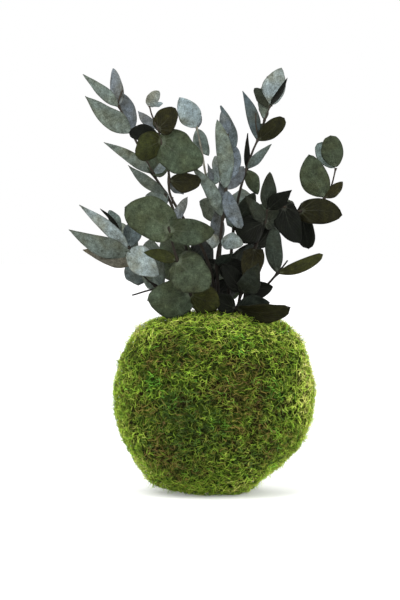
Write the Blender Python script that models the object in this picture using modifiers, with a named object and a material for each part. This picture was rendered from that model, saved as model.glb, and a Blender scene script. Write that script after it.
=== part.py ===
"""Kokedama: a soil ball wrapped in moss and planted with sprigs of preserved silver-dollar eucalyptus.

Metres, +Z up. The origin is the centre of the flat spot that the ball rests on, and -Y is the front.
Every size in the tables is in millimetres. Each stem is pushed into a socket of the soil ball, and the
leaves of each stem node grow from one small collar that clasps the stem.
"""

import math

import bmesh
import bpy
from mathutils import Matrix, Vector
from mathutils.bvhtree import BVHTree

MM = 0.001
GAP = 0.3  # between two pieces that touch

# The ball: two half superellipses of revolution, a full round belly below and a flatter shoulder above.
BALL_RADIUS = 67.5
BALL_MIDDLE = 60.0  # height of the widest place
BELLY_DROP = 62.5  # from the middle down to the pole, which the flat spot cuts off
BELLY_POWER = 2.05
SHOULDER_RISE = 64.0
SHOULDER_POWER = 2.9
FLAT_RADIUS = 23.0  # the spot that it rests on
MOSS_THICKNESS = 9.0
OPENING_RADIUS = 24.0  # where the stems come out of the moss
SOIL_TOP = 119.5  # the soil stands a little below the moss in the opening
ARC_STEPS = 6  # points along each half of the outline
TURN_STEPS = 30

# Stems
STEM_FOOT_RADIUS = 1.2
STEM_TIP_RADIUS = 0.5
SAMPLES_PER_SPAN = 2

LEAN_FOOT = 120.0  # heights between which a sprig leans
LEAN_TOP = 290.0

# Leaves
LEAF_THICKNESS = 0.8
LEAF_ELBOW = 1.4  # how far apart two leaves stay where there is room
PETIOLE_WIDTH = 1.3
COLLAR_HEIGHT = 1.8
COLLAR_PLAY = 0.5
COLLAR_WALL = 0.9
COLLAR_SIDES = 8
LEAF_CUP = 0.12  # how far the edges fall back, as a share of the half width
LEAF_BOW = 0.07  # rise of the arched midrib, as a share of the length
DEPTH_STEPS = (0, -3, 3, -6, 6, -9, 9, -12, 12, -16, 16, -20, 20, -25, 25, -30, 30)

# Each shape lists (share of the length, share of the half width) from the end of the petiole to the tip.
LEAF_SHAPES = {
    "round": ((0.10, 0.10), (0.26, 0.82), (0.54, 1.00), (0.86, 0.62), (1.00, 0.06)),
    "oval": ((0.09, 0.12), (0.26, 0.74), (0.52, 1.00), (0.82, 0.60), (1.00, 0.05)),
    "blunt": ((0.09, 0.14), (0.24, 0.78), (0.52, 1.00), (0.84, 0.76), (1.00, 0.22)),
    "lance": ((0.08, 0.16), (0.24, 0.74), (0.48, 1.00), (0.78, 0.62), (1.00, 0.05)),
}

# tone: colour, roughness
TONES = {
    "silver": ((0.42, 0.47, 0.47), 0.75),
    "dusty": ((0.25, 0.29, 0.26), 0.75),
    "slate": ((0.10, 0.12, 0.12), 0.75),
    "taupe": ((0.11, 0.10, 0.08), 0.75),
    "violet": ((0.30, 0.31, 0.37), 0.75),
    "sage": ((0.16, 0.20, 0.14), 0.70),
    "teal": ((0.07, 0.10, 0.09), 0.70),
    "olive": ((0.08, 0.08, 0.03), 0.65),
    "umber": ((0.10, 0.07, 0.03), 0.65),
    "deep": ((0.02, 0.025, 0.018), 0.65),
}

# Each sprig has how far it leans back at LEAN_TOP, the points that its stem runs through before it leans,
# from its foot in the soil to its tip, and its leaf nodes. A node sits at a place counted in path points, so 4.5 is half-way from point 4 to point 5, and
# lists its leaves as (x, y, z of the tip, width, roll, shape, tone). A roll of 0 faces the front.
SPRIGS = {
    "far_left": {
        "lean": 10,
        "path": [(-8, 11, 86), (-11, 11, 120), (-17, 12, 160), (-29, 12, 197), (-42, 13, 219),
                 (-54, 12, 242), (-61, 11, 257), (-66, 10, 267), (-63, 9, 277)],
        "nodes": [
            (6.8, [(-90, 2, 287.5, 9, 20, "lance", "dusty"), (-70, 16, 292, 10, -25, "oval", "violet")]),
            (5.3, [(-89.5, 2, 272, 16, 15, "lance", "dusty"), (-63.5, 26, 277, 12.5, 35, "lance", "violet")]),
            (4, [(-76, 8, 240.5, 9, 15, "lance", "dusty"), (-33, 15, 228, 7, 20, "oval", "silver"),
                 (-55, 34, 226, 6, 50, "lance", "deep"), (-34, 46, 232, 17, 10, "round", "sage")]),
            (3.3, [(-59, 4, 225, 8.5, -20, "lance", "dusty"), (-46, 43, 196, 16, 15, "round", "dusty")]),
            (2, [(-38, 36, 172, 22, -15, "round", "sage"), (-4, 40, 172, 22, 20, "round", "teal"),
                 (-38, 42, 150, 22, 10, "round", "sage")]),
        ],
    },
    "left_tall": {
        "lean": -8,
        "path": [(1, -5, 86), (1, -5, 120), (-1, -6, 146), (-8, -8, 168), (-21, -10, 189), (-30, -11, 205),
                 (-31, -12, 221), (-36, -12, 241), (-38, -12, 249), (-42, -11, 258), (-44, -11, 265)],
        "nodes": [
            (10, [(-37.5, -10, 275, 9.5, 0, "round", "silver"), (-35, -16, 266, 5, 40, "oval", "silver")]),
            (8, [(-26, -18, 263, 17, -15, "round", "umber"), (-52, 2, 262, 7, 10, "lance", "violet")]),
            (7, [(-9.5, -22, 225, 28, 5, "round", "sage"), (-53, -28, 231, 19, -20, "round", "olive"),
                 (-57.5, -16, 246.5, 13, 25, "blunt", "deep")]),
            (5.6, [(-9, -18, 214, 15, 15, "blunt", "umber"), (-21, 6, 205, 6, 40, "oval", "violet")]),
        ],
    },
    "middle_back": {
        "lean": 26,
        "path": [(-2, 10, 86), (-2, 10, 120), (3, 11, 152), (5, 11, 185), (1, 12, 203), (-5, 12, 216),
                 (-8, 12, 233), (-11, 12, 247), (-13, 12, 256)],
        "nodes": [
            (7.4, [(-24, 6, 272, 16, 5, "oval", "silver"), (-3.5, 15, 232, 11, 10, "oval", "dusty"),
                   (-16, 32, 264, 12, 20, "oval", "violet")]),
            (4.6, [(-4, 9, 226, 6, 45, "lance", "violet"), (6, 34, 224, 14, -30, "oval", "dusty")]),
            (1.5, [(16, 24, 139, 15, 0, "round", "deep"), (-4, 30, 146, 15, 10, "round", "deep")]),
            (3.2, [(-10, 2, 200, 17, 15, "oval", "dusty"), (-6, 42, 196, 20, 15, "round", "sage")]),
        ],
    },
    "middle": {
        "lean": -6,
        "path": [(5, -1, 86), (4, -2, 120), (2, -3, 156), (4, -3, 173), (6, -3, 189), (8, -3, 208),
                 (10, -3, 228), (9, -3, 245), (8, -3, 253)],
        "nodes": [
            (7, [(5, -9, 260, 8, 10, "oval", "violet"), (10, -11, 228, 5, 30, "lance", "teal")]),
            (6, [(5, 3, 266, 13, 25, "lance", "slate"), (1.5, 2, 252, 7, -20, "lance", "dusty")]),
            (5.3, [(15.5, -6, 237, 12, 10, "oval", "violet"), (0.5, -6, 231, 12, 0, "oval", "silver")]),
            (5, [(18.5, -14, 181.5, 10.5, 0, "blunt", "violet"), (2, -15, 255, 12, 15, "oval", "dusty"),
                 (21, 8, 224, 10.5, 10, "oval", "violet")]),
            (4, [(-16, -20, 225, 10, 15, "lance", "dusty"), (4, 6, 214, 9, 40, "lance", "violet")]),
            (3, [(20, -17, 171, 12, -10, "oval", "silver"), (-5, -17, 175, 10, 15, "oval", "silver"),
                 (2, -10, 193, 10, 0, "oval", "violet")]),
            (2, [(25, -7, 150, 17, 10, "blunt", "deep"), (13, -12, 166, 9, 35, "lance", "teal"),
                 (-16, 6, 148, 18, 10, "round", "deep")]),
        ],
    },
    "right_tall": {
        "lean": 14,
        "path": [(10, 8, 86), (10, 8, 120), (11, 9, 151), (14, 10, 185), (18, 11, 207), (22.5, 11, 222),
                 (27, 11, 235), (31, 11, 244), (35, 10, 256), (39, 10, 266)],
        "twig": [(31, 11, 244), (29, 8, 253), (29, 6, 261)],
        "nodes": [
            (9, [(46.5, 4, 292, 16.5, -10, "oval", "silver"), (50, -3, 285, 5, 30, "lance", "deep"),
                 (28, 8, 278, 9, 10, "round", "teal")]),
            (8, [(38, 22, 286, 10, -30, "oval", "dusty"), (31, 28, 268, 8, 30, "lance", "dusty")]),
            (6.8, [(20, 8, 276.5, 9, 10, "lance", "slate"), (48.5, 2, 257.5, 12.5, 10, "blunt", "umber"),
                 (40, 30, 254, 10, 10, "oval", "sage")]),
            (5, [(39.5, 6, 240, 7, 20, "lance", "dusty"), (30, 6, 205, 10, 10, "oval", "sage"),
                 (23, 16, 247, 5, 40, "lance", "deep")]),
            (3, [(28, 2, 206, 12, 0, "oval", "teal"), (20, 50, 208, 17, -20, "round", "dusty")]),
            (2, [(32, 36, 166, 22, 15, "round", "teal"), (-8, 30, 148, 20, -15, "round", "deep"),
                 (14, 46, 134, 20, 20, "round", "sage")]),
        ],
    },
    "right_inner": {
        "lean": 4,
        "path": [(15, 1, 86), (16, 1, 120), (20, 1, 145), (28, 1, 168), (35, 2, 186), (36.5, 2, 194),
                 (38, 2, 200)],
        "nodes": [
            (5, [(38.5, 0, 220, 12, 10, "oval", "teal"), (53, -5, 208, 11, 10, "lance", "deep")]),
            (4, [(16, -9, 176, 19, 0, "blunt", "deep"), (27, 28, 198, 15, 10, "oval", "sage"),
                 (50, 23, 189, 14, 10, "round", "teal"), (21, -10, 204, 10, 20, "lance", "teal")]),
            (3, [(29, 0, 151, 12, 30, "oval", "deep"), (23, -10, 145, 17, 0, "blunt", "umber"),
                 (39, 8, 184, 12, 10, "oval", "deep")]),
        ],
    },
    "far_right": {
        "lean": 10,
        "path": [(17, 10, 86), (19, 11, 120), (25, 13, 150), (32, 14, 175), (39, 14, 190), (49, 12, 196),
                 (60, 10, 193), (70, 8, 196), (76, 6, 202), (81, 6, 211), (84, 6, 223)],
        "nodes": [
            (10, [(80, 2, 245, 15.5, 0, "blunt", "sage"), (72, 14, 239, 14, 0, "blunt", "dusty")]),
            (8, [(64.5, -6, 233, 20, 0, "oval", "sage"), (88.5, 3, 213.5, 9, 25, "oval", "umber")]),
            (6, [(88, -8, 190.5, 20, -10, "round", "umber"), (66, 20, 168, 15, 20, "blunt", "deep")]),
            (5, [(58, -3, 172, 18, 5, "round", "deep"), (48, 38, 202, 14, 10, "oval", "sage")]),
            (3, [(46, 40, 178, 17, 10, "round", "dusty"), (22, 44, 188, 17, -20, "round", "teal")]),
        ],
    },
    "low_right": {
        "lean": -6,
        "path": [(13, -8, 86), (15, -8, 118), (24, -11, 131), (34, -14, 141), (43, -15, 151),
                 (47, -15, 156), (50, -15, 160)],
        "nodes": [
            (4, [(41, -13, 182, 12, -10, "blunt", "teal"), (74, -18, 163.5, 9, 15, "blunt", "olive")]),
        ],
    },
    "low_left": {
        "lean": -4,
        "path": [(-13, 0, 86), (-15, 0, 118), (-26, -1, 131), (-40, -2, 142), (-47, -2, 148),
                 (-53, -2, 158), (-58, -1, 168), (-64, 0, 178), (-70, 1, 186)],
        "nodes": [
            (7, [(-72, 6, 194, 9, -20, "oval", "dusty"), (-78, 1, 195, 4, 40, "lance", "deep")]),
            (6, [(-92, -8, 197.5, 9.5, 20, "lance", "silver"), (-38, -12, 149, 21, 0, "oval", "silver"),
                 (-56, 8, 186, 14, 10, "oval", "slate")]),
            (5.5, [(-98.5, -4, 180, 14, -10, "lance", "dusty"), (-66, 36, 184, 14, 10, "oval", "dusty")]),
            (5, [(-90, -14, 167, 15, 10, "lance", "taupe"), (-52, 2, 142, 19, 0, "round", "slate")]),
            (3, [(-44, 30, 174, 18, 10, "round", "dusty")]),
        ],
    },
    "front_left": {
        "lean": -8,
        "path": [(-6, -10, 86), (-9, -12, 118), (-16, -17, 137), (-25, -21, 160), (-31, -22, 185),
                 (-29, -20, 195), (-28, -19, 203)],
        "nodes": [
            (3.8, [(-60.5, -27, 196, 29, 0, "round", "sage"), (0, -34, 179.5, 21, 5, "round", "sage"),
                 (-18, -12, 203, 8, 30, "oval", "violet")]),
            (3, [(-4, -38, 142.5, 28, -5, "round", "sage"), (-47, -26, 166, 10, 15, "oval", "olive")]),
            (2, [(-44, -28, 133, 28, 0, "round", "sage"), (3, -28, 130.5, 20, 10, "round", "olive")]),
        ],
    },
    "front_right": {
        "lean": -4,
        "path": [(8, -10, 86), (11, -13, 118), (15, -15, 127), (19, -15, 138), (22, -14, 147)],
        "nodes": [
            (3, [(29, -18, 158, 15, 0, "oval", "teal"), (5, -24, 158, 14, 10, "oval", "deep"),
                 (40, -8, 142, 14, 10, "oval", "deep")]),
            (2, [(51, -23, 129, 15, 30, "blunt", "umber"), (38, -23, 132, 14, 10, "oval", "teal"),
                 (-4, -26, 136, 14, 10, "oval", "deep")]),
        ],
    },
    "bare_twig": {
        "lean": 0,
        "path": [(-11, -6, 86), (-14, -7, 118), (-24, -9, 134), (-39, -10, 140), (-56, -10, 136)],
        "nodes": [],
    },
}


def clear_scene():
    for thing in list(bpy.data.objects):
        bpy.data.objects.remove(thing, do_unlink=True)


def new_collection(name):
    made = bpy.data.collections.new(name)
    bpy.context.scene.collection.children.link(made)
    return made


def new_material(name, colour, roughness):
    material = bpy.data.materials.new(name)
    material.use_nodes = True
    shader = material.node_tree.nodes["Principled BSDF"]
    shader.inputs["Base Color"].default_value = (*colour, 1)
    shader.inputs["Roughness"].default_value = roughness
    shader.inputs["Metallic"].default_value = 0
    return material


def new_object(name, data, collection, material=None):
    made = bpy.data.objects.new(name, data)
    collection.objects.link(made)
    if material:
        made.data.materials.clear()
        made.data.materials.append(material)
    return made


def baked_mesh(source):
    """The source object as a mesh with its modifiers applied and its loose caps welded. It removes the source."""
    bpy.context.view_layer.update()
    graph = bpy.context.evaluated_depsgraph_get()
    mesh = bpy.data.meshes.new_from_object(source.evaluated_get(graph))
    mesh.transform(source.matrix_world)
    bpy.data.objects.remove(source, do_unlink=True)
    bm = bmesh.new()
    bm.from_mesh(mesh)
    bmesh.ops.remove_doubles(bm, verts=bm.verts, dist=0.001 * MM)
    bm.to_mesh(mesh)
    bm.free()
    return mesh


def tree_of(mesh):
    return BVHTree.FromPolygons([v.co for v in mesh.vertices], [tuple(p.vertices) for p in mesh.polygons])


def add_boolean(target, other, operation):
    cut = target.modifiers.new(operation.title(), "BOOLEAN")
    cut.operation = operation
    cut.solver = "EXACT"
    cut.object = other


# ---- the ball -------------------------------------------------------------------------------------------


def shoulder_arc(inset, from_radius):
    """(radius, height) points down the upper half of the ball, inset from its outside, to the middle."""
    widest, rise = BALL_RADIUS - inset, SHOULDER_RISE - inset
    start = math.asin((from_radius / widest) ** (SHOULDER_POWER / 2))
    points = []
    for step in range(ARC_STEPS + 1):
        angle = start + (math.pi / 2 - start) * step / ARC_STEPS
        radius = widest * math.sin(angle) ** (2 / SHOULDER_POWER)
        height = BALL_MIDDLE + rise * max(math.cos(angle), 0) ** (2 / SHOULDER_POWER)
        points.append((radius, height))
    return points


def belly_arc(inset, to_radius):
    """(radius, height) points down the lower half of the ball, below the middle, to the flat spot."""
    widest, drop = BALL_RADIUS - inset, BELLY_DROP - inset
    end = math.asin((to_radius / widest) ** (BELLY_POWER / 2))
    points = []
    for step in range(1, ARC_STEPS + 1):
        angle = math.pi / 2 + (end - math.pi / 2) * step / ARC_STEPS
        radius = widest * math.sin(angle) ** (2 / BELLY_POWER)
        height = BALL_MIDDLE - drop * math.cos(angle) ** (2 / BELLY_POWER)
        points.append((radius, height))
    return points


def turned(name, outline, collection, material):
    """A solid of revolution from an outline of (radius, height) that starts and ends on the axis."""
    bm = bmesh.new()
    corners = [bm.verts.new((radius * MM, 0, height * MM)) for radius, height in outline]
    for first, second in zip(corners, corners[1:]):
        bm.edges.new((first, second))
    mesh = bpy.data.meshes.new(name)
    bm.to_mesh(mesh)
    bm.free()
    made = new_object(name, mesh, collection, material)
    screw = made.modifiers.new("Turn", "SCREW")
    screw.angle = math.tau
    screw.steps = screw.render_steps = TURN_STEPS
    screw.use_merge_vertices = True
    screw.merge_threshold = 0.00005
    return made


def build_moss(collection, material):
    """The coat of sheet moss: a hollow ball, open at the top round the stems and flat where it rests."""
    outside = shoulder_arc(0, OPENING_RADIUS) + belly_arc(0, FLAT_RADIUS)
    outside[-1] = (FLAT_RADIUS, 0)
    inside = shoulder_arc(MOSS_THICKNESS, OPENING_RADIUS) + belly_arc(MOSS_THICKNESS, FLAT_RADIUS)
    inside[-1] = (FLAT_RADIUS, MOSS_THICKNESS)
    outline = [(0, MOSS_THICKNESS)] + inside[::-1] + outside + [(0, 0)]
    return turned("moss_coat", outline, collection, material)


def build_soil(collection, material, stems):
    """The soil ball inside the moss, with a low plug in the opening and a socket for each stem."""
    inset = MOSS_THICKNESS + GAP
    plug = OPENING_RADIUS - GAP
    outline = [(0, SOIL_TOP), (plug * 0.7, SOIL_TOP), (plug, SOIL_TOP - 3)]
    outline += shoulder_arc(inset, plug) + belly_arc(inset, FLAT_RADIUS)
    outline[-1] = (FLAT_RADIUS, inset)
    outline.append((0, inset))
    soil = turned("soil_ball", outline, collection, material)
    for stem in stems:
        add_boolean(soil, stem, "DIFFERENCE")
    return soil


# ---- stems ----------------------------------------------------------------------------------------------


def leant(point, lean):
    x, y, z = point
    return Vector((x, y + lean * max(z - LEAN_FOOT, 0) / (LEAN_TOP - LEAN_FOOT), z))


def smooth_path(points, lean):
    """Points on a Catmull-Rom curve through the given ones, SAMPLES_PER_SPAN to each span."""
    knots = [leant(p, lean) for p in points]
    knots = [2 * knots[0] - knots[1]] + knots + [2 * knots[-1] - knots[-2]]
    path = []
    for k in range(1, len(knots) - 2):
        before, start, end, after = knots[k - 1:k + 3]
        for step in range(SAMPLES_PER_SPAN):
            t = step / SAMPLES_PER_SPAN
            path.append(0.5 * (
                2 * start + (end - before) * t
                + (2 * before - 5 * start + 4 * end - after) * t ** 2
                + (3 * start - before - 3 * end + after) * t ** 3
            ))
    path.append(knots[-2])
    return path


def stem_radius(share):
    return STEM_FOOT_RADIUS + (STEM_TIP_RADIUS - STEM_FOOT_RADIUS) * share


def tube(name, path, radii, collection, material=None):
    """A closed tube along a path of points, as a mesh object."""
    curve = bpy.data.curves.new(name, "CURVE")
    curve.dimensions = "3D"
    curve.bevel_depth = MM
    curve.bevel_resolution = 1
    curve.use_fill_caps = True
    spline = curve.splines.new("POLY")
    spline.points.add(len(path) - 1)
    for place, point, radius in zip(spline.points, path, radii):
        place.co = (*(point * MM), 1)
        place.radius = radius
    mesh = baked_mesh(new_object(name + "_line", curve, collection))
    return new_object(name, mesh, collection, material)


def build_stem(name, sprig, collection, helpers, material):
    """The stem with its side twig, and the cutter that makes its socket in the soil."""
    path = smooth_path(sprig["path"], sprig["lean"])
    radii = [stem_radius(k / (len(path) - 1)) for k in range(len(path))]
    stem = tube("stem_" + name, path, radii, collection, material)
    if "twig" in sprig:
        twig_path = smooth_path(sprig["twig"], sprig["lean"])
        twig = tube(name + "_twig", twig_path, [STEM_TIP_RADIUS] * len(twig_path), helpers)
        add_boolean(stem, twig, "UNION")
        mesh = baked_mesh(stem)
        bpy.data.objects.remove(twig, do_unlink=True)
        stem = new_object("stem_" + name, mesh, collection, material)
    along = (path[1] - path[0]).normalized()
    socket_path = [path[0] - along * GAP] + path[1:5]
    cutter = tube(name + "_socket", socket_path, [r + GAP for r in radii[:5]], helpers)
    cutter.hide_render = True
    cutter.display_type = "WIRE"
    return stem, cutter


def place_on_stem(path, at):
    """The point, direction and radius of the stem at a place counted in path points."""
    at_sample = min(at * SAMPLES_PER_SPAN, len(path) - 1)
    first = min(int(at_sample), len(path) - 2)
    point = path[first].lerp(path[first + 1], at_sample - first)
    along = (path[first + 1] - path[first]).normalized()
    if at_sample == first and first > 0:
        along = (path[first + 1] - path[first - 1]).normalized()
    return point, along, stem_radius(at_sample / (len(path) - 1))


# ---- leaves ---------------------------------------------------------------------------------------------


def leaf_frame(root, tip, roll):
    """Along, across and facing directions of a leaf. With no roll it faces the front as far as it can."""
    along = (tip - root).normalized()
    front = Vector((0, -1, 0)) if abs(along.y) < 0.9 else Vector((0, 0, 1))
    facing = (front - along * front.dot(along)).normalized()
    facing = Matrix.Rotation(math.radians(roll), 3, along) @ facing
    return along, along.cross(facing), facing


def leaf_section(root, tip, width, roll, share, half):
    """The six corners of a leaf's section, in a ring that faces the tip: back right, middle and left, then front."""
    along, across, facing = leaf_frame(root, tip, roll)
    length = (tip - root).length
    reach = half * width / 2
    middle = root + along * length * share + facing * (LEAF_BOW * length * math.sin(math.pi * share))
    thick = facing * LEAF_THICKNESS / 2
    side = across * reach
    cup = facing * LEAF_CUP * reach
    return [middle + side - cup - thick, middle - thick, middle - side - cup - thick,
            middle - side - cup + thick, middle + thick, middle + side - cup + thick]


def leaf_rows(width, shape):
    return ((0.04, PETIOLE_WIDTH / width),) + LEAF_SHAPES[shape]


def feeler(root, tip, width, roll, shape):
    """A search tree of a leaf that is LEAF_ELBOW thick, to find what the leaf would come too near to."""
    _, _, facing = leaf_frame(root, tip, roll)
    points, faces = [], []
    for share, half in leaf_rows(width, shape)[1:]:
        ring = leaf_section(root, tip, width, roll, share, half)
        points += [p + facing * (LEAF_ELBOW / 2 * (-1 if k < 3 else 1)) for k, p in enumerate(ring)]
    for row in range(len(points) // 6 - 1):
        for k in range(6):
            corners = (row * 6 + k, row * 6 + (k + 1) % 6, row * 6 + 6 + (k + 1) % 6, row * 6 + 6 + k)
            faces.append(corners)
    return BVHTree.FromPolygons([p * MM for p in points], faces)


def settle(stem_place, leaf, lean, taken, name):
    """The first tip, moved only in depth, at which the leaf touches nothing that is there, and its feeler."""
    centre, stem_along, radius = stem_place
    x, y, z, width, roll, shape, _ = leaf
    best = None
    for depth in DEPTH_STEPS:
        tip = leant((x, y + depth, z), lean)
        out = tip - centre
        out = (out - stem_along * out.dot(stem_along)).normalized()
        sense = feeler(centre + out * (radius + COLLAR_PLAY + COLLAR_WALL), tip, width, roll, shape)
        touched = [other for other, tree in taken.items() if sense.overlap(tree)]
        if best is None or len(touched) < len(best[2]):
            best = (tip, sense, touched)
        if not touched:
            break
    if best[2]:
        print("crowded:", name, leaf, "touches", best[2])
    return best[:2]


def grow_leaf(bm, walls, tip, width, roll, shape):
    """A leaf grown out of whichever free wall of the collar faces its tip."""
    walls = [wall for wall in walls if wall.is_valid and len(wall.verts) == 4]
    wall = max(walls, key=lambda w: w.normal.dot((tip - w.calc_center_median()).normalized()))
    root = wall.calc_center_median()
    ring = leaf_section(root, tip, width, roll, 0, PETIOLE_WIDTH / width)
    corners = list(wall.verts)
    order = (ring[0], ring[2], ring[3], ring[5])

    def twist(turn):
        return sum((corners[(k + turn) % 4].co - order[k]).length_squared for k in range(4))

    turn = min(range(4), key=twist)
    first = corners[turn]
    pairs = ((corners[turn], corners[(turn + 1) % 4]), (corners[(turn + 2) % 4], corners[(turn + 3) % 4]))
    wide = [edge for edge in wall.edges if any(set(edge.verts) == set(pair) for pair in pairs)]
    for edge in wide:
        bmesh.utils.edge_split(edge, edge.verts[0], 0.5)
    start = list(wall.verts).index(first)
    for share, half in leaf_rows(width, shape):
        wall = bmesh.ops.extrude_discrete_faces(bm, faces=[wall])["faces"][0]
        corners = list(wall.verts)
        for k, place in enumerate(leaf_section(root, tip, width, roll, share, half)):
            corners[(start + k) % 6].co = place


def build_leaves(name, stem_place, leaves, lean, taken, collection, material):
    """The leaves of one stem node, grown out of the collar that clasps the stem there, as one object."""
    centre, stem_along, radius = stem_place
    inner, outer, half = radius + COLLAR_PLAY, radius + COLLAR_PLAY + COLLAR_WALL, COLLAR_HEIGHT / 2
    bm = bmesh.new()
    section = [(inner, -half), (outer, -half), (outer, half), (inner, half)]
    corners = [bm.verts.new((r, 0, h)) for r, h in section]
    edges = [bm.edges.new((corners[k], corners[(k + 1) % 4])) for k in range(4)]
    turn = {"axis": (0, 0, 1), "angle": math.tau, "steps": COLLAR_SIDES, "use_merge": True}
    bmesh.ops.spin(bm, geom=corners + edges, **turn)
    bmesh.ops.recalc_face_normals(bm, faces=bm.faces)
    walls = [face for face in bm.faces if face.calc_center_median().xy.dot(face.normal.xy) > outer * 0.8]
    place = Matrix.Translation(centre) @ stem_along.to_track_quat("Z", "Y").to_matrix().to_4x4()
    bmesh.ops.transform(bm, matrix=place, verts=bm.verts)
    bm.normal_update()
    for number, leaf in enumerate(leaves):
        tip, sense = settle(stem_place, leaf, lean, taken, name)
        grow_leaf(bm, walls, tip, *leaf[3:6])
        taken[f"{name}_{number}"] = sense
    bmesh.ops.triangulate(bm, faces=bm.faces)
    bmesh.ops.scale(bm, vec=(MM, MM, MM), verts=bm.verts)
    mesh = bpy.data.meshes.new(name)
    bm.to_mesh(mesh)
    bm.free()
    return new_object(name, mesh, collection, material)


def main():
    clear_scene()
    plant = new_collection("Kokedama")
    helpers = new_collection("Cutters")
    moss_green = new_material("moss", (0.16, 0.21, 0.03), 0.95)
    soil_brown = new_material("soil", (0.05, 0.035, 0.02), 0.95)
    bark = new_material("stem", (0.03, 0.025, 0.02), 0.7)
    tones = {tone: new_material("leaf_" + tone, *look) for tone, look in TONES.items()}

    moss = build_moss(plant, moss_green)
    stems = {}
    sockets = []
    for name, sprig in SPRIGS.items():
        stems[name], socket = build_stem(name, sprig, plant, helpers, bark)
        sockets.append(socket)
    build_soil(plant, soil_brown, sockets)

    bpy.context.view_layer.update()
    graph = bpy.context.evaluated_depsgraph_get()
    taken = {"moss_coat": tree_of(moss.evaluated_get(graph).data)}
    for name, stem in stems.items():
        taken["stem_" + name] = tree_of(stem.data)
    for name, sprig in SPRIGS.items():
        lean = sprig["lean"]
        path = smooth_path(sprig["path"], lean)
        for number, (at, leaves) in enumerate(sprig["nodes"], start=1):
            place = place_on_stem(path, at)
            material = tones[leaves[0][6]]
            build_leaves(f"leaves_{name}_{number}", place, leaves, lean, taken, plant, material)


main()
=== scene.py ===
import math
import random

import bmesh
import bpy
import numpy as np
from mathutils import Matrix, Vector, noise


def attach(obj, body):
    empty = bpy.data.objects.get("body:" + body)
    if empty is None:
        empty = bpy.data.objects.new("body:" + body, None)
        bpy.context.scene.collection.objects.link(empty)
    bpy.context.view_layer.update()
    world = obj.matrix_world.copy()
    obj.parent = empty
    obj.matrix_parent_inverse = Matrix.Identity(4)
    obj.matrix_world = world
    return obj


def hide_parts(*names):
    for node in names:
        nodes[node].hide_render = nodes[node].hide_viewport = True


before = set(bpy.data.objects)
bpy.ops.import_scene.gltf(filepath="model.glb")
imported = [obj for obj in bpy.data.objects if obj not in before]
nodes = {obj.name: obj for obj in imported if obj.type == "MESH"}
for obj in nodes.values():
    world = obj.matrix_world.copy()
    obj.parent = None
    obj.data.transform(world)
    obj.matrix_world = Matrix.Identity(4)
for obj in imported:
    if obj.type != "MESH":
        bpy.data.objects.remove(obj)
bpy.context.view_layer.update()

mm = 0.001  # sizes in the dictionaries are millimetres unless a note says otherwise


def linear(colour):
    channels = [c / 255 for c in colour]
    return tuple(c / 12.92 if c <= 0.04045 else ((c + 0.055) / 1.055) ** 2.4 for c in channels)


def keep(name, mesh, material, replaced=()):
    mesh.materials.append(material)
    piece = bpy.data.objects.new(name, mesh)
    bpy.context.scene.collection.objects.link(piece)
    mesh.polygons.foreach_set("use_smooth", [True] * len(mesh.polygons))
    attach(piece, "root")
    if replaced:
        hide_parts(*replaced)
    return piece


def newObject(name, bm, material, replaced):
    mesh = bpy.data.meshes.new(name)
    bm.to_mesh(mesh)
    bm.free()
    return keep(name, mesh, material, replaced)


camera = {
    "aim": (-9.6, 0, 132.4), "distance": 1944, "elevation": 2.2, "lens": 170, "sensor": 36,
    "near": 0.05, "far": 50,  # metres
}


def addCamera():
    data = bpy.data.cameras.new("camera")
    data.lens = camera["lens"]
    data.sensor_width = camera["sensor"]
    data.clip_start = camera["near"]
    data.clip_end = camera["far"]
    thing = bpy.data.objects.new("camera", data)
    tilt = math.radians(camera["elevation"])
    back = Vector((0, -math.cos(tilt), math.sin(tilt)))
    thing.location = (Vector(camera["aim"]) + back * camera["distance"]) * mm
    thing.rotation_mode = "QUATERNION"
    thing.rotation_quaternion = (-back).to_track_quat("-Z", "Y")
    bpy.context.scene.collection.objects.link(thing)
    bpy.context.scene.camera = thing
    print("camera placed")


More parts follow.
